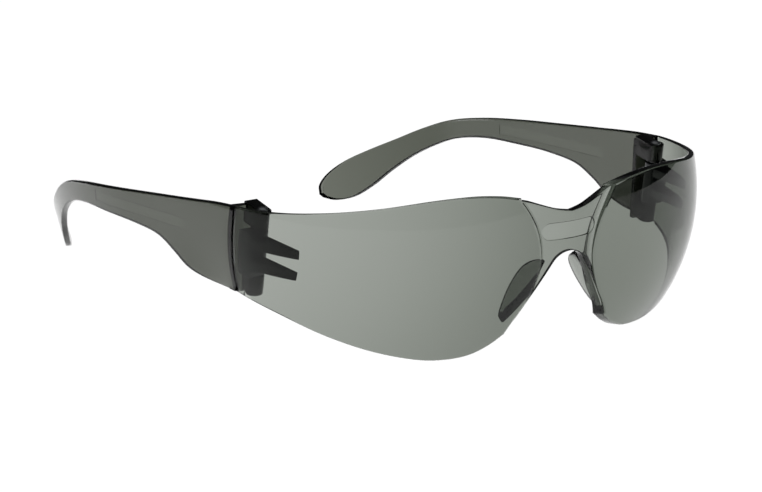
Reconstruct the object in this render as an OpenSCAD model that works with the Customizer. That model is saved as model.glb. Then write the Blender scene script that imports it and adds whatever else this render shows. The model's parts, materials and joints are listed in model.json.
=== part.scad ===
// Wrap-around safety glasses: one moulded shield, two folding temples.
// Drawn as worn, with the hinge edges upright, then tipped by `pitch` so that the
// shield's lower rims and the two temple tips stand on Z = 0.
// X runs across the face, -Y looks forwards, +Z is up.

/* [Shield] */
// Outer radius of each spherical lobe
lobe_radius = 54.4; // [50:0.5:62]
// Distance of each lobe's centre from the middle of the face
lobe_offset = 17.2; // [15:0.1:20]
// Height of the lobe centres above the middle of the hinge edge
lobe_rise = 3.6; // [2:0.1:5]
// Moulded thickness of a lobe beside the nose
nose_wall = 2.4; // [2:0.05:3]
// Moulded thickness of a lobe at the hinge edge
edge_wall = 1.45; // [1.2:0.05:2]
// Angle from straight ahead to the hinge edge
wrap_angle = 85.5; // [80:0.5:87]
// Height of the hinge edge
hinge_edge_height = 23.4; // [20:0.2:28]

/* [Bridge] */
// Outer radius of the bridge, seen from above
bridge_radius = 23; // [20:0.5:28]
// How far the middle of the bridge stands out in front of the lobes
bridge_proud = 0.2; // [0:0.1:1]
// Moulded thickness of the bridge
bridge_wall = 2.1; // [1.8:0.05:3]
// Height of the bridge's top edge at the middle
bridge_top = 13.3; // [11:0.1:16]
// Height of the nose arch's highest point
arch_top = 2.5; // [0:0.1:5]
// Radius of the nose arch
arch_radius = 5.9; // [5:0.1:8]
// Angle of the nose flanks away from upright
flank_angle = 32.3; // [28:0.5:38]

/* [Nose pads] */
// Thickness of a nose pad
pad_wall = 1.8; // [1.2:0.1:2.6]
// How far a nose pad reaches back from the front of the bridge
pad_depth = 11; // [8:0.5:12]
// Length of a nose pad down its flank
pad_length = 22; // [14:0.5:23]

/* [Hinges] */
// How far the hinge axis lies inside the outer face of the hinge edge
hinge_inset = 6.2; // [5.8:0.1:7]
// How far the hinge axis lies in front of the hinge edge
hinge_ahead = 3.6; // [3.2:0.1:4.2]
// Lean of the hinge axis, top forwards
hinge_lean = 6; // [3:0.5:7]
// Radius of the hinge barrel
barrel_radius = 2.3; // [2:0.05:2.6]
// Height of the shield's boss, between the temple's two ears
boss_height = 12; // [9:0.5:15]
// How much shorter than the hinge edge the whole barrel is
barrel_short = 0.4; // [0.2:0.1:2]
// Radius of the hinge pin
pin_radius = 0.8; // [0.6:0.05:1]
// Radius of the pin's domed head
pin_head_radius = 1.4; // [1.1:0.1:1.8]
// Height of the pin's domed head
pin_head_height = 0.6; // [0.4:0.1:1]
// Radial play of the pin in the boss
pin_play = 0.05; // [0.02:0.01:0.1]
// Gap between parts that move past each other
joint_gap = 0.3; // [0.2:0.05:0.5]
// Height of each gusset rib in front of the boss
rib_height = 2.5; // [1.8:0.1:3.2]
// Height of the ribs' middles above and below their common centre
rib_spread = 2.9; // [2:0.1:3.5]
// Height of the ribs' common centre
rib_centre = 0.3; // [-2:0.1:1]
// How far the ribs reach forwards of the hinge axis
rib_reach = 18.5; // [10:0.5:20]

/* [Temples] */
// Thickness of a temple
temple_wall = 2; // [1.6:0.1:2.6]
// How far each ear reaches outwards from the hinge axis
ear_reach = 1.7; // [1.2:0.1:2]
// Thickness of the web that carries the ears, at its free edge
web_wall = 1.4; // [1:0.1:2]
// How far the web's back face slopes rearwards to the blade
web_slope = 1.2; // [0.5:0.1:4]
// Bevel along a temple's edges
temple_bevel = 0.5; // [0.2:0.05:0.7]
// Radius of the inward bend behind the ear
bend_radius = 145; // [120:5:180]
// Where the inward bend starts, behind the lobe centres
bend_start = 46; // [36:1:56]
// Slope of the bend's run, below level
bend_slope = 33; // [25:1:40]
// Length of a temple behind the lobe centres
temple_length = 123.6; // [110:0.2:135]

/* [Standing] */
// Tip of the glasses between worn and standing
pitch = 3.412; // [3:0.001:3.8]

/* [Hidden] */
$fn = 180;
tint = "#8d968e";
dark_tint = "#2a3033";
steel = "#8f9395";
half_edge = hinge_edge_height / 2;
hinge_edge_x = lobe_offset + lobe_radius * sin(wrap_angle);
hinge_edge_y = lobe_radius * cos(wrap_angle);   // how far the hinge edge lies in front of the lobe centres
hinge_x = hinge_edge_x - hinge_inset;
hinge_y = hinge_edge_y + hinge_ahead;
barrel_height = hinge_edge_height - barrel_short;
bridge_reach = lobe_radius + bridge_proud;   // the front of the bridge, ahead of the lobe centres
bridge_axis = bridge_reach - bridge_radius;
arch_centre = arch_top - arch_radius;

// The inside of a lobe is a smaller sphere whose centre is moved square to the lobe's middle,
// so that the wall tapers from the nose to the hinge.
lobe_view = 41;   // direction of the lobe's middle; its edges are cut parallel to it
middle_wall = (nose_wall + edge_wall) / 2;
taper = (nose_wall - edge_wall) / (2 * sin(wrap_angle - lobe_view));

// Outline of a lobe: [angle from straight ahead, height], along the brow, the crease
// beside the bridge and the cheek.
brow = [[wrap_angle, half_edge], [70, 13], [55, 14.9], [41, 16.9], [26, 19], [14, 19.6], [5, 18.9],
        [-1.9, 17.5]];
crease = [[-1.9, 17.5], [-5, 13.2], [-7.6, 8], [-8.9, 1.5], [-8.2, -4], [-5.8, -10], [-2.6, -15],
          [-0.6, -19]];
cheek = [[-0.6, -19], [4, -22], [10, -24.3], [18, -25.1], [27, -24.7], [41, -22.3], [55, -18.8], [70, -14.6],
         [wrap_angle, -half_edge]];

// Edges of a temple in side view: [y of top edge, z of top edge, y of lower edge, z of lower edge]
temple_front = joint_gap - hinge_edge_y;
drawn_length = 123.6;   // the temple length that these edges are drawn at
temple_edges = [[temple_front, half_edge, temple_front, -half_edge], [5.5, 10.5, 8, -11.7],
    [14, 9.1, 16.5, -10.5], [22, 7.7, 23.5, -7.6], [32, 6, 32, -5.1], [46, 3.6, 45, -5],
    [60, 1.2, 58.5, -5.9], [74, -1.4, 71.5, -7], [86, -4.5, 82.5, -9.4], [95.5, -8.8, 90.5, -13.1], [104.3, -13.9, 97.6, -17.8],
    [112.3, -18.7, 103.6, -23.4], [118.4, -23, 108.3, -28.8], [122.2, -27.2, 112.8, -32.9],
    [123.6, -30.9, 117.4, -34.7], [122.7, -33.6, 120.8, -34.6]];
function stretch(y) = y > 0 ? y * temple_length / drawn_length : y;

// Catmull-Rom curve through points p, with n steps a span
function blend(a, b, c, d, t) =
    ((2 * b) + (c - a) * t + (2 * a - 5 * b + 4 * c - d) * t * t + (3 * b - a - 3 * c + d) * t * t * t) / 2;
function curve(p, n) = concat([for (i = [0 : len(p) - 2]) for (k = [0 : n - 1])
    blend(p[max(i - 1, 0)], p[i], p[i + 1], p[min(i + 2, len(p) - 1)], k / n)], [p[len(p) - 1]]);
function ring_radius(z) = sqrt(pow(lobe_radius, 2) - pow(z - lobe_rise, 2));
function edge_point(q) = [ring_radius(q[1]) * sin(q[0] - lobe_view), q[1]];

// Outer face of a temple at a side-view point: flush with the lobe in front, flat further
// back, then rolled inwards about an axis square to the sloping bend.
flush_run = 24;   // how far behind the lobe centres the temple has turned flat
function fade(y) = let (t = min(max(y / flush_run, 0), 1)) 1 - t * t * (3 - 2 * t);
function run(y, z) = max((y - bend_start) * cos(bend_slope) - z * sin(bend_slope), 0);
function temple_x(y, z) = lobe_offset + lobe_radius
    - fade(y) * (lobe_radius - sqrt(pow(ring_radius(z), 2) - pow(min(y, 0), 2)))
    - (bend_radius - sqrt(pow(bend_radius, 2) - pow(run(y, z), 2)));

// The point of a temple's paddle that stands on the table, and the end of the temple
rest_y = stretch(120.6);
rest_z = -34.912;
end_z = -31;
module both(side) { mirror([side < 0 ? 1 : 0, 0, 0]) children(); }
module standing() {
    low = rest_z * cos(pitch) + rest_y * sin(pitch);
    front = -bridge_reach * cos(pitch);
    back = temple_length * cos(pitch) - end_z * sin(pitch);
    translate([0, -(front + back) / 2, -low]) rotate([pitch, 0, 0]) children();
}
module at_lobe() { translate([lobe_offset, 0, lobe_rise]) children(); }
module at_hinge() { translate([hinge_x, -hinge_y, 0]) rotate([hinge_lean, 0, 0]) children(); }
module lobe_inside() {
    at_lobe() translate([taper * cos(lobe_view), taper * sin(lobe_view), 0])
        sphere(r = lobe_radius - middle_wall);
}

module lobe() {
    outline = concat(curve(brow, 5), curve(crease, 4), curve(cheek, 5));
    reach = 2 * lobe_radius;   // clear of the lobe on every side
    intersection() {
        difference() {
            at_lobe() sphere(r = lobe_radius);
            lobe_inside();
        }
        translate([lobe_offset, 0, 0]) rotate([90, 0, lobe_view]) linear_extrude(height = reach)
            polygon([for (q = outline) edge_point(q)]);
        translate([-reach, -hinge_edge_y - reach, -reach]) cube([2 * reach, reach, 2 * reach]);
    }
}

// Half of the bridge seen from in front, with the narrow rim that runs down the nose flank
module bridge_half_outline() {
    top = [[0, 0], [4.5, 0.8], [9, 2.2], [13, 3.5], [15.5, 4]];   // the dip of the top edge
    side_centre = [32.3, 1.4];   // centre of the round side that runs in behind the lobe
    side_radius = 20.4;
    rim_end = -18.3;
    flank = [arch_radius * cos(flank_angle), arch_centre + arch_radius * sin(flank_angle)];
    polygon(concat(
        [for (q = top) [q[0], bridge_top + q[1]]],
        [for (a = [135 : 7.5 : 225]) side_centre + side_radius * [cos(a), sin(a)]],
        [[flank[0] + (flank[1] - rim_end) * tan(flank_angle), rim_end]],
        [for (a = [flank_angle : 6 : 90]) [arch_radius * cos(a), arch_centre + arch_radius * sin(a)]],
        [[0, arch_top]]));
}

module bridge_inside(height) {
    translate([0, -bridge_axis, -height / 2]) cylinder(r = bridge_radius - bridge_wall, h = height);
}

module bridge() {
    height = 60;   // taller than the bridge
    intersection() {
        difference() {
            translate([0, -bridge_axis, -height / 2]) cylinder(r = bridge_radius, h = height);
            bridge_inside(height + 2);
        }
        translate([0, -bridge_axis, 0]) rotate([90, 0, 0]) linear_extrude(height = bridge_radius + 2) {
            bridge_half_outline();
            mirror([1, 0]) bridge_half_outline();
        }
    }
}

// Room in the inside of the lobe for the two ears of a temple
module ear_pockets() {
    at_hinge() for (z = [boss_height / 2, -boss_height / 2 - barrel_height]) translate([0, 0, z])
        cylinder(r = barrel_radius + joint_gap, h = barrel_height);
}

module lens_shield() {
    color(tint) standing() difference() {
        union() {
            for (side = [-1, 1]) both(side) lobe();
            bridge();
        }
        for (side = [-1, 1]) both(side) ear_pockets();
    }
}

// A leaf-shaped wing that runs back from the rim beside the nose
module nose_pad(side) {
    leaf = [[0, 0], [0, 0.3], [0.03, 0.55], [0.1, 0.78], [0.22, 0.94], [0.4, 1], [0.6, 0.98], [0.8, 0.89],
            [0.93, 0.68], [1, 0.4], [1, 0]];
    height = 100;   // taller than the pad
    color(dark_tint) standing() both(side) intersection() {
        translate([0, -bridge_reach, arch_centre]) rotate([0, -flank_angle, 0])
            translate([arch_radius, 0, 0]) rotate([0, 90, 0]) linear_extrude(height = pad_wall)
                polygon([for (q = curve(leaf, 4)) [q[0] * pad_length, q[1] * pad_depth]]);
        bridge_inside(height);
        lobe_inside();
    }
}

// The shield's half of a hinge: the middle of the barrel, its foot on the inside of the
// lobe and two ribs that taper forwards along the wall
module hinge_boss(side) {
    wall = 9;   // far enough outwards to be cut off by the inside of the lobe
    rib_face = -1.4;   // inner faces of the ribs, seen from the hinge axis
    color(dark_tint) standing() both(side) difference() {
        intersection() {
            union() {
                at_hinge() translate([0, 0, -boss_height / 2]) {
                    cylinder(r = barrel_radius, h = boss_height);
                    translate([0, -barrel_radius, 0]) cube([wall, 2 * barrel_radius, boss_height]);
                }
                for (side_z = [-1, 1])
                    translate([hinge_x, -hinge_y, rib_centre + side_z * rib_spread - rib_height / 2])
                        linear_extrude(height = rib_height)
                            polygon([[0, 0], [rib_face, -barrel_radius / 2], [rib_face, -rib_reach],
                                     [wall, -rib_reach], [wall, 0]]);
            }
            lobe_inside();
        }
        at_hinge() cylinder(r = pin_radius + pin_play, h = barrel_height + 2, center = true);
    }
}

module hinge_pin(side) {
    color(steel) standing() both(side) at_hinge() {
        cylinder(r = pin_radius, h = barrel_height, center = true);
        translate([0, 0, barrel_height / 2]) intersection() {
            cylinder(r = pin_head_radius, h = pin_head_height);
            translate([0, 0, pin_head_height - 2 * pin_head_radius]) sphere(r = 2 * pin_head_radius);
        }
    }
}

// Section of a temple between its top-edge point a and lower-edge point b, as a ring of points
function section(a, b) =
    let (h = norm(b - a), k = temple_bevel / h, t = temple_wall, d = temple_bevel)
    [for (q = [[k, 0], [0.25, 0], [0.5, 0], [0.75, 0], [1 - k, 0], [1, d], [1, t - d], [1 - k, t], [0.75, t],
               [0.5, t], [0.25, t], [k, t], [0, t - d], [0, d]])
        let (p = a + q[0] * (b - a)) [temple_x(p[0], p[1]) - q[1], p[0], p[1]]];

module temple_blade() {
    rings = [for (e = curve(temple_edges, 3)) section([stretch(e[0]), e[1]], [stretch(e[2]), e[3]])];
    n = len(rings[0]);
    last = len(rings) - 1;
    polyhedron(points = [for (r = rings) for (p = r) p], faces = concat(
        [[for (k = [0 : n - 1]) k]],
        [for (i = [0 : last - 1]) for (k = [0 : n - 1]) [i * n + (k + 1) % n, i * n + k, (i + 1) * n + k]],
        [for (i = [0 : last - 1]) for (k = [0 : n - 1])
            [(i + 1) * n + (k + 1) % n, i * n + (k + 1) % n, (i + 1) * n + k]],
        [[for (k = [n - 1 : -1 : 0]) last * n + k]]), convexity = 8);
}

// A temple: the blade, an upright web behind the shield's edge and two ears on the barrel
module temple(side) {
    ear_height = (barrel_height - boss_height) / 2 - joint_gap;
    web_front = hinge_y + temple_front + joint_gap;   // both measured from the hinge axis
    web_bite = 0.15 * temple_wall;   // how far the web runs into the blade
    web_reach = hinge_inset - temple_wall + web_bite;
    ear_back = web_front + web_wall / 2;
    color(tint) standing() both(side) difference() {
        union() {
            temple_blade();
            translate([hinge_x, -hinge_y, -barrel_height / 2]) linear_extrude(height = barrel_height)
                polygon([[-barrel_radius, web_front], [web_reach, web_front],
                         [web_reach, web_front + web_wall + web_slope], [-barrel_radius, web_front + web_wall]]);
            intersection() {
                at_hinge() for (z = [-barrel_height / 2, barrel_height / 2 - ear_height])
                    translate([0, 0, z]) {
                        cylinder(r = barrel_radius, h = ear_height);
                        translate([-barrel_radius, 0, 0])
                            cube([barrel_radius + ear_reach, 2 * ear_back, ear_height]);
                    }
                translate([hinge_x - 2 * barrel_radius, -hinge_y - ear_back, -barrel_height])
                    cube([4 * barrel_radius, 2 * ear_back, 2 * barrel_height]);
            }
        }
        at_hinge() cylinder(r = pin_radius, h = barrel_height + 2, center = true);
    }
}

lens_shield();
nose_pad(1);  // nose_pad_left
nose_pad(-1);  // nose_pad_right
hinge_boss(1);  // hinge_boss_left
hinge_boss(-1);  // hinge_boss_right
hinge_pin(1);  // hinge_pin_left
hinge_pin(-1);  // hinge_pin_right
temple(1);  // temple_left
temple(-1);  // temple_right
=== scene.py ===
import json
import math

import bmesh
import bpy
import numpy as np
from mathutils import Matrix, Vector


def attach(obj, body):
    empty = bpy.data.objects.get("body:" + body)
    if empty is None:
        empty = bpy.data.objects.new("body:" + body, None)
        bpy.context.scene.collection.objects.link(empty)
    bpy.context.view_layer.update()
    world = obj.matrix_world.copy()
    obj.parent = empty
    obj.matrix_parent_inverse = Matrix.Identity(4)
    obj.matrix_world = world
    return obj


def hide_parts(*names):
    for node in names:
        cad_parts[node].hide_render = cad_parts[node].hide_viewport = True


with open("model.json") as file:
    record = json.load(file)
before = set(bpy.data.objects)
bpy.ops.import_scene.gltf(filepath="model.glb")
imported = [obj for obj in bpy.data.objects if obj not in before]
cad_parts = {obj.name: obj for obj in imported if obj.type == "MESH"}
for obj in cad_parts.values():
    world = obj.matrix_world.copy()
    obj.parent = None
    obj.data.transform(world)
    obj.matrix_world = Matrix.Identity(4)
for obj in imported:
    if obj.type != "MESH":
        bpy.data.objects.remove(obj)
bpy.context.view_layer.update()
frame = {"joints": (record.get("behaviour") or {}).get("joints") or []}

# ---------------------------------------------------------------- camera
# A long lens on a stand, a little above the glasses and in front of their right-hand side.
camera_data = bpy.data.cameras.new("camera")
camera_data.lens = 175.93
camera_data.sensor_width = 36.0
camera = bpy.data.objects.new("camera", camera_data)
camera.location = (-0.57788, -0.82167, 0.26474)
camera.rotation_euler = [math.radians(a) for a in (75.7582, 0.2761, -35.3682)]
bpy.context.scene.collection.objects.link(camera)
bpy.context.scene.camera = camera
bpy.context.scene.view_settings.view_transform = "Standard"

# ---------------------------------------------------------------- studio
# A plain opal white light table that glows evenly, under one wide overhead softbox that is
# turned down low in a dim room, so that the smoke plastic is lit from below and behind.


def linear(hex_colour):
    """An sRGB colour such as "#8090a0" as linear RGBA."""
    parts = [int(hex_colour[i:i + 2], 16) / 255 for i in (1, 3, 5)]
    return [c / 12.92 if c <= 0.04045 else ((c + 0.055) / 1.055) ** 2.4 for c in parts] + [1.0]


def node(tree, kind, settings=None, links=None):
    """Adds a node, with its settings by socket or property name and its inputs' links."""
    made = tree.nodes.new(kind)
    for name, value in (settings or {}).items():
        if name in made.inputs:
            made.inputs[name].default_value = value
        else:
            setattr(made, name, value)
    for name, source in (links or {}).items():
        tree.links.new(source, made.inputs[name])
    return made


def material(name):
    """An empty node material and its tree."""
    made = bpy.data.materials.new(name)
    made.use_nodes = True
    made.node_tree.nodes.clear()
    return made, made.node_tree


table_half = 1.5   # m
opal, tree = material("opal_light_table")
surface = node(tree, "ShaderNodeBsdfPrincipled",
               {"Base Color": linear("#d8d8d8"), "Roughness": 0.9, "Specular IOR Level": 0.1,
                "Emission Color": linear("#ffffff"), "Emission Strength": 1.0})
node(tree, "ShaderNodeOutputMaterial", links={"Surface": surface.outputs[0]})
mesh = bpy.data.meshes.new("table")
mesh.from_pydata([(-table_half, -table_half, 0), (table_half, -table_half, 0),
                  (table_half, table_half, 0), (-table_half, table_half, 0)], [], [(0, 1, 2, 3)])
table = bpy.data.objects.new("table", mesh)
table.data.materials.append(opal)
table.location.z = -0.0002
bpy.context.scene.collection.objects.link(table)

softbox = bpy.data.lights.new("overhead_softbox", "AREA")
softbox.shape, softbox.size, softbox.size_y, softbox.energy = "RECTANGLE", 1.1, 1.1, 0.5
light = bpy.data.objects.new("overhead_softbox", softbox)
light.location = (0.1, 0.15, 0.9)
bpy.context.scene.collection.objects.link(light)

world = bpy.data.worlds.new("dim_room")
world.use_nodes = True
world.node_tree.nodes["Background"].inputs["Color"].default_value = linear("#c8cacc")
world.node_tree.nodes["Background"].inputs["Strength"].default_value = 0.05
bpy.context.scene.world = world

# ---------------------------------------------------------------- shield
# One clear smoke-grey polycarbonate moulding: two spherical lobes that step down to a
# bridge over the nose, with a gloss face and softly rounded rims. It is drawn in
# millimetres as worn, X across the face and -Y forwards, then set down on the table.
lobe_radius, lobe_offset, lobe_rise, nose_wall, edge_wall = 54.4, 17.2, 3.6, 2.4, 1.45
wrap_angle, half_edge, lobe_view = 85.5, 11.7, 41.0
bridge_radius, bridge_axis, bridge_top, bridge_wall = 23.0, 31.6, 13.3, 2.1
arch_top, arch_radius, flank_angle = 2.5, 5.9, 32.3
barrel_radius, boss_height, barrel_height, joint_gap = 2.3, 12.0, 23.0, 0.3
lobe_rim, bridge_rim, barrel_rim, gusset_rim = 0.4, 0.3, 0.25, 0.2
hinge_edge_x = lobe_offset + lobe_radius * math.sin(math.radians(wrap_angle))
hinge_edge_y = lobe_radius * math.cos(math.radians(wrap_angle))
hinge_x, hinge_y, hinge_lean = hinge_edge_x - 6.2, hinge_edge_y + 3.6, math.radians(6)
view = math.radians(lobe_view)
middle_wall = (nose_wall + edge_wall) / 2
taper = (nose_wall - edge_wall) / (2 * math.sin(math.radians(wrap_angle) - view))

# Worn to standing: the hinge axis of the left temple gives the place, `pitch` the tip.
pitch = math.radians(3.412)
left_hinge = next(j for j in frame["joints"] if j["pos_m"][0] > 0)
tip = Matrix.Rotation(pitch, 4, "X") @ Matrix.Scale(0.001, 4)
standing = Matrix.Translation(Vector(left_hinge["pos_m"]) - tip @ Vector((hinge_x, -hinge_y, 0))) @ tip

# Outline of a lobe: (angle from straight ahead, height) along the brow, the crease and the cheek.
brow = [[wrap_angle, half_edge], [70, 13], [55, 14.9], [41, 16.9], [26, 19], [14, 19.6], [5, 18.9],
        [-1.9, 17.5]]
crease = [[-1.9, 17.5], [-5, 13.2], [-7.6, 8], [-8.9, 1.5], [-8.2, -4], [-5.8, -10], [-2.6, -15],
          [-0.6, -19]]
cheek = [[-0.6, -19], [4, -22], [10, -24.3], [18, -25.1], [27, -24.7], [41, -22.3], [55, -18.8], [70, -14.6],
         [wrap_angle, -half_edge]]


def curve(points, steps):
    """A smooth curve through the points, with `steps` steps a span."""
    points = [np.array(p, float) for p in points]
    made = []
    for i in range(len(points) - 1):
        a, b = points[max(i - 1, 0)], points[i]
        c, d = points[i + 1], points[min(i + 2, len(points) - 1)]
        for t in np.arange(steps) / steps:
            made.append((2 * b + (c - a) * t + (2 * a - 5 * b + 4 * c - d) * t ** 2
                         + (3 * b - a - 3 * c + d) * t ** 3) / 2)
    return np.array(made + [points[-1]])


def spread(points, count):
    """The line through the points, as `count` points at even distances."""
    points = np.array(points, float)
    run = np.r_[0, np.cumsum(np.linalg.norm(np.diff(points, axis=0), axis=1))]
    at = np.linspace(0, run[-1], count)
    return np.stack([np.interp(at, run, points[:, k]) for k in range(points.shape[1])], 1)


def inwards(loop):
    """Unit vectors into a closed anticlockwise outline, one a point."""
    step = np.roll(loop, -1, 0) - loop
    step /= np.linalg.norm(step, axis=1)[:, None] + 1e-12
    both = step + np.roll(step, 1, 0)
    both /= np.linalg.norm(both, axis=1)[:, None] + 1e-12
    return np.stack([-both[:, 1], both[:, 0]], 1)


def mesh_object(name, points, faces):
    """An object from points and faces, with its faces turned outwards."""
    mesh = bpy.data.meshes.new(name)
    mesh.from_pydata([tuple(p) for p in points], [], faces)
    work = bmesh.new()
    work.from_mesh(mesh)
    bmesh.ops.recalc_face_normals(work, faces=work.faces)
    if work.faces and work.calc_volume(signed=True) < 0:
        bmesh.ops.reverse_faces(work, faces=work.faces)
    work.to_mesh(mesh)
    work.free()
    made = bpy.data.objects.new(name, mesh)
    bpy.context.scene.collection.objects.link(made)
    return made


def rim_steps(wall, rim, count=4):
    """(inset, depth) from the front face round the rim to the back face."""
    arc = [math.radians(90 * k / count) for k in range(count + 1)]
    front = [(rim * (1 - math.sin(a)), rim * (1 - math.cos(a))) for a in arc]
    return front + [(inset, wall - depth) for inset, depth in reversed(front)]


def moulding(name, lower, right, upper, left, wall, rim, place):
    """A wall over a four-sided outline, with round rims. The sides run anticlockwise, and
    place(points, depth) puts outline points at a depth below the front face."""
    across, along = len(lower), len(right)
    loop = np.concatenate([lower[:-1], right[:-1], upper[:-1], left[:-1]])
    into = inwards(loop)

    def grid(inset):
        q = loop + into * inset
        a, b = across - 1, along - 1
        low, high = q[:across], q[a + b:2 * a + b + 1][::-1]
        far, near = q[a:a + along], np.concatenate([q[2 * a + b:], q[:1]])[::-1]
        u, v = np.linspace(0, 1, across)[:, None, None], np.linspace(0, 1, along)[None, :, None]
        return ((1 - v) * low[:, None] + v * high[:, None] + (1 - u) * near[None] + u * far[None]
                - (1 - u) * (1 - v) * low[0] - u * (1 - v) * low[-1]
                - (1 - u) * v * high[0] - u * v * high[-1])

    steps = rim_steps(wall, rim)
    cells = grid(rim).reshape(-1, 2)
    size = len(cells)
    points = [place(cells, 0), place(cells, wall)]
    edge = ([i * along for i in range(across - 1)] + [(across - 1) * along + j for j in range(along - 1)]
            + [i * along + along - 1 for i in range(across - 1, 0, -1)] + list(range(along - 1, 0, -1)))
    rings = [edge]
    for k, (inset, depth) in enumerate(steps[1:-1]):
        points.append(place(loop + into * inset, depth))
        rings.append([2 * size + k * len(loop) + i for i in range(len(loop))])
    rings.append([size + i for i in edge])
    faces = []
    for i in range(across - 1):
        for j in range(along - 1):
            c = [i * along + j, (i + 1) * along + j, (i + 1) * along + j + 1, i * along + j + 1]
            faces += [c, [size + k for k in reversed(c)]]
    for one, two in zip(rings, rings[1:]):
        for i in range(len(loop)):
            j = (i + 1) % len(loop)
            faces.append([one[j], one[i], two[i], two[j]])
    return mesh_object(name, np.concatenate(points), faces)


def apply_modifiers(made):
    """Turns the object's modifiers into its mesh."""
    shape = bpy.data.meshes.new_from_object(made.evaluated_get(bpy.context.evaluated_depsgraph_get()))
    made.modifiers.clear()
    made.data = shape


def combine(base, operation, *others):
    """Joins, cuts or keeps the common part of `base` and each other solid, and drops the others."""
    for other in others:
        change = base.modifiers.new("combine", "BOOLEAN")
        change.operation, change.object, change.solver = operation, other, "EXACT"
        apply_modifiers(base)
        bpy.data.objects.remove(other)
    return base


def finish_piece(made, name, look, body, cad_node):
    """Sets a piece down on the table and ties it to its body, slot and CAD node."""
    made.name = made.data.name = name
    made.data.transform(standing)
    made.data.materials.clear()
    made.data.materials.append(look)
    made.data.polygons.foreach_set("use_smooth", [True] * len(made.data.polygons))
    made.data.set_sharp_from_angle(angle=math.radians(35))
    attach(made, body)
    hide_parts(cad_node)


def finish_pair(made, name, look, cad_node, body=None):
    """Finishes a left-hand piece and its mirror image, on the front or each on its own temple."""
    image = bpy.data.objects.new(name, made.data.copy())
    bpy.context.scene.collection.objects.link(image)
    image.data.transform(Matrix.Scale(-1, 4, (1, 0, 0)))
    image.data.flip_normals()
    for piece, side in ((made, "left"), (image, "right")):
        finish_piece(piece, side + "_" + name, look, body or side + "_temple", cad_node + "_" + side)


def ring(z):
    """Radius of a lobe's outer face at a height above its centre."""
    return np.sqrt(lobe_radius ** 2 - z ** 2)


def edge_points(line):
    """Outline points (angle from straight ahead, height) as places square to `lobe_view`."""
    z = line[:, 1] - lobe_rise
    return np.stack([ring(z) * np.sin(np.radians(line[:, 0]) - view), line[:, 1]], 1)


lobe_depth = 2.0   # the depth that stands for the back face, whatever the wall is there


def on_lobe(q, depth):
    """Outline points on the left lobe, at a depth below its front face. The back face is a
    smaller ball with its centre moved outwards, so that the wall tapers to the hinge."""
    s, z = q[:, 0], q[:, 1] - lobe_rise
    shift, radius = 0.0, lobe_radius - depth
    if depth > lobe_depth / 2:
        shift, radius = taper, lobe_radius - middle_wall + lobe_depth - depth
    around = np.sqrt(radius ** 2 - z ** 2)
    full = ring(z) * math.sin(math.radians(wrap_angle) - view)
    limit = shift + around * np.sin(np.arccos((hinge_edge_y + shift * math.sin(view)) / around) - view)
    s = s * (1 - (1 - limit / full) * np.clip(s / full, 0, 1) ** 2)
    v = np.sqrt(radius ** 2 - (s - shift) ** 2 - z ** 2)
    return np.stack([lobe_offset + s * math.cos(view) + v * math.sin(view),
                     s * math.sin(view) - v * math.cos(view), q[:, 1]], 1)


crease_edge = spread(edge_points(curve(crease, 12)), 50)
hinge_side = np.array([[wrap_angle, z] for z in np.linspace(-half_edge, half_edge, 30)])
lobe = moulding("lobe", spread(edge_points(curve(cheek, 12)), 130), spread(edge_points(hinge_side), 50),
                spread(edge_points(curve(brow, 12)), 130), crease_edge, lobe_depth, lobe_rim, on_lobe)

# The bridge is round seen from above and flares forwards to meet the creases.
meeting = on_lobe(crease_edge, 0)[::-1]
meeting_step = -bridge_axis - np.sqrt(bridge_radius ** 2 - meeting[:, 0] ** 2) - meeting[:, 1]
step_kept = 0.75   # mm that a lobe stands out in front of the bridge


def on_bridge(q, depth):
    """Points (x, z) seen from in front, on the bridge at a depth below its front face."""
    around = np.arcsin(np.clip(q[:, 0] / bridge_radius, -1, 1))
    share = np.clip(np.abs(q[:, 0]) / np.interp(q[:, 1], meeting[:, 2], meeting[:, 0]), 0, 1.05)
    flare = (np.interp(q[:, 1], meeting[:, 2], meeting_step) - step_kept) * share ** 3
    return np.stack([(bridge_radius - depth) * np.sin(around),
                     -bridge_axis - (bridge_radius - depth) * np.cos(around) - flare, q[:, 1]], 1)


tuck, leg_end = 0.5, -18.6
flank = math.radians(flank_angle)
arch_centre = arch_top - arch_radius
flank_x, flank_z = arch_radius * math.cos(flank), arch_centre + arch_radius * math.sin(flank)
half_top = curve([[0, bridge_top], [4.5, bridge_top + 0.8], [9, bridge_top + 2.2], [13, bridge_top + 3.5],
                  [15.5, bridge_top + 4]], 6)
half_side = [[x + tuck, z] for x, _, z in meeting[::-1] if bridge_top + 3.8 > z > leg_end]
half_arch = [[arch_radius * math.cos(a), arch_centre + arch_radius * math.sin(a)]
             for a in np.linspace(flank, math.pi / 2, 16)]
leg_tip = [flank_x + (flank_z - leg_end) * math.tan(flank), leg_end]
# Each half is shared out so that the cells of the top, the flanks and the arch meet square.
upper_half = np.concatenate([spread(half_top, 26)[:-1], spread(half_side, 60)])
lower_half = np.concatenate([spread(half_arch[::-1], 26)[:-1], spread([half_arch[0], leg_tip], 60)])
flip = np.array([-1.0, 1.0])
upper_line = np.concatenate([upper_half[::-1], (upper_half * flip)[1:]])
lower_line = np.concatenate([(lower_half * flip)[::-1], lower_half[1:]])
bridge = moulding("bridge", lower_line, spread([lower_line[-1], upper_line[0]], 12), upper_line,
                  spread([upper_line[-1], lower_line[0]], 12), bridge_wall, bridge_rim, on_bridge)


def tube(name, rings):
    """A closed solid through rings of points, all with the same count."""
    n = len(rings[0])
    faces = [[k * n + i, k * n + (i + 1) % n, (k + 1) * n + (i + 1) % n, (k + 1) * n + i]
             for k in range(len(rings) - 1) for i in range(n)]
    faces += [list(range(n)), [(len(rings) - 1) * n + i for i in range(n)]]
    return mesh_object(name, np.concatenate(rings), faces)


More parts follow.
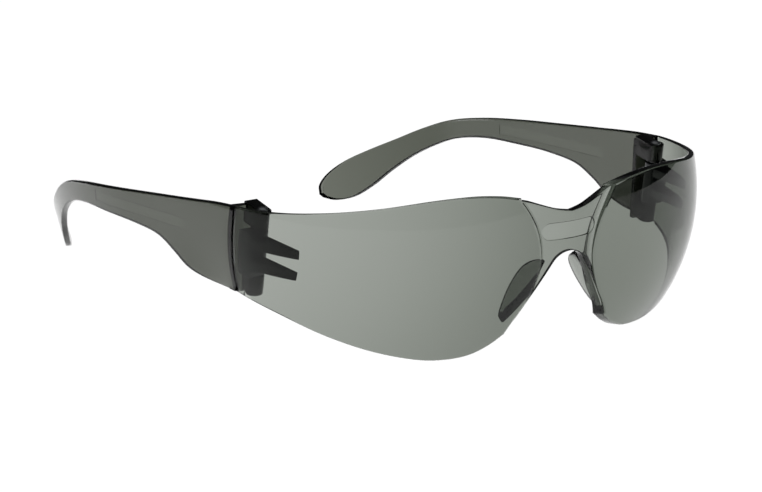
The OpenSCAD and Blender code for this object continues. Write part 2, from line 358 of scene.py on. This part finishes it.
def slab(name, outline, height, rim, place):
    """A plate over an outline of 2-D points, from 0 to `height`, with round edges."""
    loop = np.array(outline, float)
    if np.cross(loop, np.roll(loop, -1, 0)).sum() < 0:
        loop = loop[::-1]
    into = inwards(loop)
    steps = rim_steps(height, rim) if rim else [(0, 0), (0, height)]
    return tube(name, [place(loop + into * inset, level) for inset, level in steps])


def about_hinge(q, level):
    """Points (x, y) square to the leaning hinge axis, at a height along it."""
    return np.stack([hinge_x + q[:, 0],
                     q[:, 1] * math.cos(hinge_lean) - level * math.sin(hinge_lean) - hinge_y,
                     q[:, 1] * math.sin(hinge_lean) + level * math.cos(hinge_lean)], 1)


def circle(radius, count=48, start=0.0, stop=360.0):
    """Points on a circle or an arc of it."""
    whole = abs(stop - start) >= 360
    return np.stack([radius * np.cos(np.radians(np.linspace(start, stop, count, endpoint=not whole))),
                     radius * np.sin(np.radians(np.linspace(start, stop, count, endpoint=not whole)))], 1)


shield = combine(bridge, "UNION", lobe)
for start in (boss_height / 2, -boss_height / 2 - barrel_height):
    combine(shield, "DIFFERENCE", slab("ear_pocket", circle(barrel_radius + joint_gap), barrel_height, 0,
                                       lambda q, level: about_hinge(q, level + start)))

# A mould insert leaves a long, shallow, round-ended panel across the bridge.
panel_height, panel_half, panel_round, panel_depth = 8.3, 8.6, 2.35, 0.25
cutter_wall = 1.0   # more than any panel is deep
straight = np.stack([np.linspace(-1, 1, 60) * (panel_half - panel_round), np.full(60, -panel_round)], 1)
panel = [straight, circle(panel_round, 16, -90, 90) + [panel_half - panel_round, 0]]
panel = [q + [0, panel_height] for q in panel + [-q for q in panel]]
combine(shield, "DIFFERENCE", moulding("panel", *panel, cutter_wall, panel_depth,
                                       lambda q, depth: on_bridge(q, panel_depth - depth)))

# Only the left half is kept, and mirrored.
image = shield.modifiers.new("image", "MIRROR")
image.use_bisect_axis = (True, False, False)
image.merge_threshold = 0.001
apply_modifiers(shield)

# Polycarbonate, injection moulded and polished: clear and hard-edged gloss, with the smoke
# dye in the body of the plastic, so that thick or edge-on parts turn nearly black. Its
# IOR and its mirror are set below bare polycarbonate's, as a guess at the finish.
smoke_polycarbonate, tree = material("smoke_polycarbonate")
gloss = node(tree, "ShaderNodeBsdfPrincipled",
             {"Base Color": linear("#ffffff"), "Roughness": 0.0, "IOR": 1.5, "Transmission Weight": 1.0,
              "Specular Tint": linear("#929292")})
dye = node(tree, "ShaderNodeVolumeAbsorption", {"Color": linear("#5c6e52"), "Density": 700.0})
node(tree, "ShaderNodeOutputMaterial", links={"Surface": gloss.outputs[0], "Volume": dye.outputs[0]})
finish_piece(shield, "shield", smoke_polycarbonate, "front", "lens_shield")


def true_normals(made, balls):
    """Shades the parts of the piece that lie on a ball (centre and radius, as worn) with that
    ball's own normals, so that joins leave no trace in the gloss."""
    mesh = made.data
    normals = np.array([n.vector for n in mesh.corner_normals])
    corner_vertex = np.array([c.vertex_index for c in mesh.loops])
    co = np.array([v.co for v in mesh.vertices])
    for face in mesh.polygons:
        middle, facing = np.array(face.center), np.array(face.normal)
        corners = list(face.loop_indices)
        for centre, radius in balls:
            away = middle - centre
            length = np.linalg.norm(away)
            if abs(length - radius) < 3e-5 and abs(facing @ away) / length > 0.995:
                out = (co[corner_vertex[corners]] - centre) * np.sign(facing @ away)
                normals[corners] = out / np.linalg.norm(out, axis=1)[:, None]
                break
    mesh.normals_split_custom_set([tuple(n) for n in normals])


balls = []
for side in (-1, 1):
    balls.append((np.array(standing @ Vector((side * lobe_offset, 0, lobe_rise))), lobe_radius / 1000))
    back_centre = (side * (lobe_offset + taper * math.cos(view)), taper * math.sin(view), lobe_rise)
    balls.append((np.array(standing @ Vector(back_centre)), (lobe_radius - middle_wall) / 1000))
true_normals(shield, balls)

# ---------------------------------------------------------------- nose pads
# Two leaf-shaped wings that run back from the rims beside the nose, moulded in the same
# smoke polycarbonate and welded to the inside of the shield.
pad_wall, pad_depth, pad_length, pad_rim = 1.8, 11.0, 22.0, 0.45
leaf = [[0, 0], [0, 0.3], [0.03, 0.55], [0.1, 0.78], [0.22, 0.94], [0.4, 1], [0.6, 0.98], [0.8, 0.89],
        [0.93, 0.68], [1, 0.4], [1, 0]]


def lobe_inside():
    """The round space inside the left lobe, as a cutter."""
    made = mesh_object("ball", [], [])
    work = bmesh.new()
    centre = Vector((lobe_offset + taper * math.cos(view), taper * math.sin(view), lobe_rise))
    bmesh.ops.create_uvsphere(work, u_segments=160, v_segments=80, radius=lobe_radius - middle_wall,
                              matrix=Matrix.Translation(centre))
    work.to_mesh(made.data)
    work.free()
    return made


def on_flank(q, level):
    """Points (down the flank, back) on the side of the nose arch, at a distance out from it."""
    out = arch_radius + level
    return np.stack([out * math.cos(flank) + q[:, 0] * math.sin(flank), q[:, 1] - bridge_axis - bridge_radius,
                     arch_centre + out * math.sin(flank) - q[:, 0] * math.cos(flank)], 1)


pad = slab("pad", curve(leaf, 6) * [pad_length, pad_depth], pad_wall, pad_rim, on_flank)
behind_bridge = slab("behind_bridge", circle(bridge_radius - bridge_wall, 160), 100, 0,
                     lambda q, z: np.stack([q[:, 0], q[:, 1] - bridge_axis, q[:, 0] * 0 + z - 50], 1))
combine(pad, "INTERSECT", behind_bridge, lobe_inside())
finish_pair(pad, "nose_pad", smoke_polycarbonate, "nose_pad", "front")

# ---------------------------------------------------------------- hinge bosses
# The shield's half of each hinge: a barrel on a foot, with two ribs that taper forwards
# along the wall, moulded in near-black plastic and welded inside the shield's edge.
rib_height, rib_spread, rib_centre, rib_reach, rib_face = 2.5, 2.9, 0.3, 18.5, -1.4
black_plastic, tree = material("black_gloss_plastic")
gloss = node(tree, "ShaderNodeBsdfPrincipled",
             {"Base Color": linear("#10161a"), "Roughness": 0.22, "IOR": 1.55})
node(tree, "ShaderNodeOutputMaterial", links={"Surface": gloss.outputs[0]})
wall_reach = 9.0   # far enough outwards to be cut off by the inside of the shield
outline = np.concatenate([circle(barrel_radius, 40, 90, 270),
                          [[wall_reach, -barrel_radius], [wall_reach, barrel_radius]]])
boss = slab("boss", outline, boss_height, barrel_rim,
            lambda q, level: about_hinge(q, level - boss_height / 2))
rib = np.array([[0, 0], [rib_face, -barrel_radius / 2], [rib_face, -rib_reach],
                [wall_reach, -rib_reach], [wall_reach, 0]])
for start in (rib_centre - rib_spread - rib_height / 2, rib_centre + rib_spread - rib_height / 2):
    combine(boss, "UNION", slab("rib", rib, rib_height, gusset_rim, lambda q, z: np.stack(
        [hinge_x + q[:, 0], q[:, 1] - hinge_y, q[:, 0] * 0 + z + start], 1)))
combine(boss, "INTERSECT", lobe_inside())
finish_pair(boss, "hinge_boss", black_plastic, "hinge_boss", "front")

# ---------------------------------------------------------------- hinge pins
# A drawn steel pin with a domed head through each hinge, pressed into the temple's ears.
pin_radius, pin_head_radius, pin_head_height = 0.8, 1.4, 0.6
pin_steel, tree = material("drawn_steel")
steel = node(tree, "ShaderNodeBsdfPrincipled",
             {"Base Color": linear("#b9bcbe"), "Metallic": 1.0, "Roughness": 0.25})
node(tree, "ShaderNodeOutputMaterial", links={"Surface": steel.outputs[0]})
dome = [(pin_head_radius * math.sin(a), barrel_height / 2 + pin_head_height * math.cos(a))
        for a in np.radians(np.linspace(82, 4, 10))]
profile = [(0.02, -barrel_height / 2), (pin_radius - 0.1, -barrel_height / 2),
           (pin_radius, -barrel_height / 2 + 0.1), (pin_radius, barrel_height / 2),
           (pin_head_radius, barrel_height / 2)] + dome
pin = tube("pin", [about_hinge(circle(r, 40), z) for r, z in profile])
finish_pair(pin, "hinge_pin", pin_steel, "hinge_pin")

# ---------------------------------------------------------------- temples
# Two arms of a more densely dyed smoke polycarbonate, with a finely textured mould face.
# Each has a full-height web, two ears that turn on the pin, and a paddle at its far end.
temple_wall, temple_rim = 2.0, 0.55
ear_reach, web_wall, web_slope = 1.7, 1.4, 1.2
bend_radius, bend_start, bend_slope = 145.0, 46.0, math.radians(33)
flush_run = 24.0   # how far behind the lobe centres a temple has turned flat
temple_front = joint_gap - hinge_edge_y
temple_edges = [[temple_front, half_edge, temple_front, -half_edge], [5.5, 10.5, 8, -11.7],
                [14, 9.1, 16.5, -10.5], [22, 7.7, 23.5, -7.6], [32, 6, 32, -5.1], [46, 3.6, 45, -5],
                [60, 1.2, 58.5, -5.9], [74, -1.4, 71.5, -7], [86, -4.5, 82.5, -9.4],
                [95.5, -8.8, 90.5, -13.1], [104.3, -13.9, 97.6, -17.8], [112.3, -18.7, 103.6, -23.4],
                [118.4, -23, 108.3, -28.8], [122.2, -27.2, 112.8, -32.9], [123.6, -30.9, 117.4, -34.7],
                [122.7, -33.6, 120.8, -34.6]]


def temple_x(y, z):
    """The outer face of a temple: flush with the shield in front, rolled inwards behind."""
    t = np.clip(y / flush_run, 0, 1)
    fade = 1 - t * t * (3 - 2 * t)
    run = np.maximum((y - bend_start) * math.cos(bend_slope) - z * math.sin(bend_slope), 0)
    flush = np.sqrt(ring(z - lobe_rise) ** 2 - np.minimum(y, 0) ** 2)
    return (lobe_offset + lobe_radius - fade * (lobe_radius - flush)
            - (bend_radius - np.sqrt(bend_radius ** 2 - run ** 2)))


temple_smoke, tree = material("textured_smoke_polycarbonate")
gloss = node(tree, "ShaderNodeBsdfPrincipled",
             {"Base Color": linear("#ffffff"), "Roughness": 0.12, "IOR": 1.586, "Transmission Weight": 1.0,
              "Specular Tint": linear("#a8a8a8")})
dye = node(tree, "ShaderNodeVolumeAbsorption", {"Color": linear("#5a6644"), "Density": 1240.0})
node(tree, "ShaderNodeOutputMaterial", links={"Surface": gloss.outputs[0], "Volume": dye.outputs[0]})

# The blade's section: (share of the way from the top edge down, mm further, depth).
arc = np.radians(np.linspace(0, 90, 5))
corner = [(temple_rim * (1 - math.sin(a)), temple_rim * (1 - math.cos(a))) for a in arc]
shares = np.linspace(0, 1, 13)[1:-1]
profile = [(0, down, deep) for down, deep in corner[::-1]] + [(s, 0, 0) for s in shares]
profile += [(1, -down, deep) for down, deep in corner]
profile += [(1, -down, temple_wall - deep) for down, deep in corner[::-1]]
profile += [(s, 0, temple_wall) for s in shares[::-1]]
profile += [(0, down, temple_wall - deep) for down, deep in corner]
rings = []
for line in curve(temple_edges, 8):
    top, low = line[:2], line[2:]
    height = np.linalg.norm(low - top)
    q = np.array([top + (share + down / height) * (low - top) for share, down, _ in profile])
    depths = [deep for _, _, deep in profile]
    rings.append(np.stack([temple_x(q[:, 0], q[:, 1]) - depths, q[:, 0], q[:, 1]], 1))
temple = tube("temple", rings)

# The web behind the shield's edge, which runs a little way into the blade, and the two ears.
web_front, web_bite = hinge_y + temple_front + joint_gap, 0.15 * temple_wall
web_reach, ear_back = hinge_edge_x - hinge_x - temple_wall + web_bite, web_front + web_wall / 2
web = [[-barrel_radius, web_front], [web_reach, web_front], [web_reach, web_front + web_wall + web_slope],
       [-barrel_radius, web_front + web_wall]]
combine(temple, "UNION", slab("web", web, barrel_height, gusset_rim, lambda q, z: np.stack(
    [hinge_x + q[:, 0], q[:, 1] - hinge_y, q[:, 0] * 0 + z - barrel_height / 2], 1)))
ear_height = (barrel_height - boss_height) / 2 - joint_gap
meet = math.degrees(math.acos(ear_reach / barrel_radius))
ear = np.concatenate([[[ear_reach, 2 * ear_back]], circle(barrel_radius, 40, meet, -180),
                      [[-barrel_radius, 2 * ear_back]]])


def on_ear(q, level):
    """Points about the hinge axis, brought forwards to end inside the web."""
    p = about_hinge(q, level)
    p[:, 1] = np.minimum(p[:, 1], ear_back - hinge_y)
    return p


for start in (-barrel_height / 2, barrel_height / 2 - ear_height):
    combine(temple, "UNION", slab("ear", ear, ear_height, barrel_rim,
                                  lambda q, level: on_ear(q, level + start)))

# Another insert leaves a long shallow panel with a round front end in the inner face.
insert_start, insert_end, insert_half = (20.3, 0.9), (66.0, -3.0), 1.45
insert_depth, insert_rim = 0.12, 0.05
insert_length = math.dist(insert_start, insert_end)
insert_lean = math.atan2(insert_end[1] - insert_start[1], insert_end[0] - insert_start[0])
straight = np.stack([np.linspace(0, insert_length, 60), np.full(60, -insert_half)], 1)
insert = [straight, np.stack([np.full(12, insert_length), np.linspace(-insert_half, insert_half, 12)], 1),
          straight[::-1] * [1, -1], circle(insert_half, 12, 90, 270)]
turn = [[math.cos(insert_lean), math.sin(insert_lean)], [-math.sin(insert_lean), math.cos(insert_lean)]]
insert = [q @ turn + insert_start for q in insert]
combine(temple, "DIFFERENCE", moulding("insert", *insert, cutter_wall, insert_rim, lambda q, depth: np.stack(
    [temple_x(q[:, 0], q[:, 1]) - temple_wall + insert_depth - depth, q[:, 0], q[:, 1]], 1)))
finish_pair(temple, "temple_arm", temple_smoke, "temple")
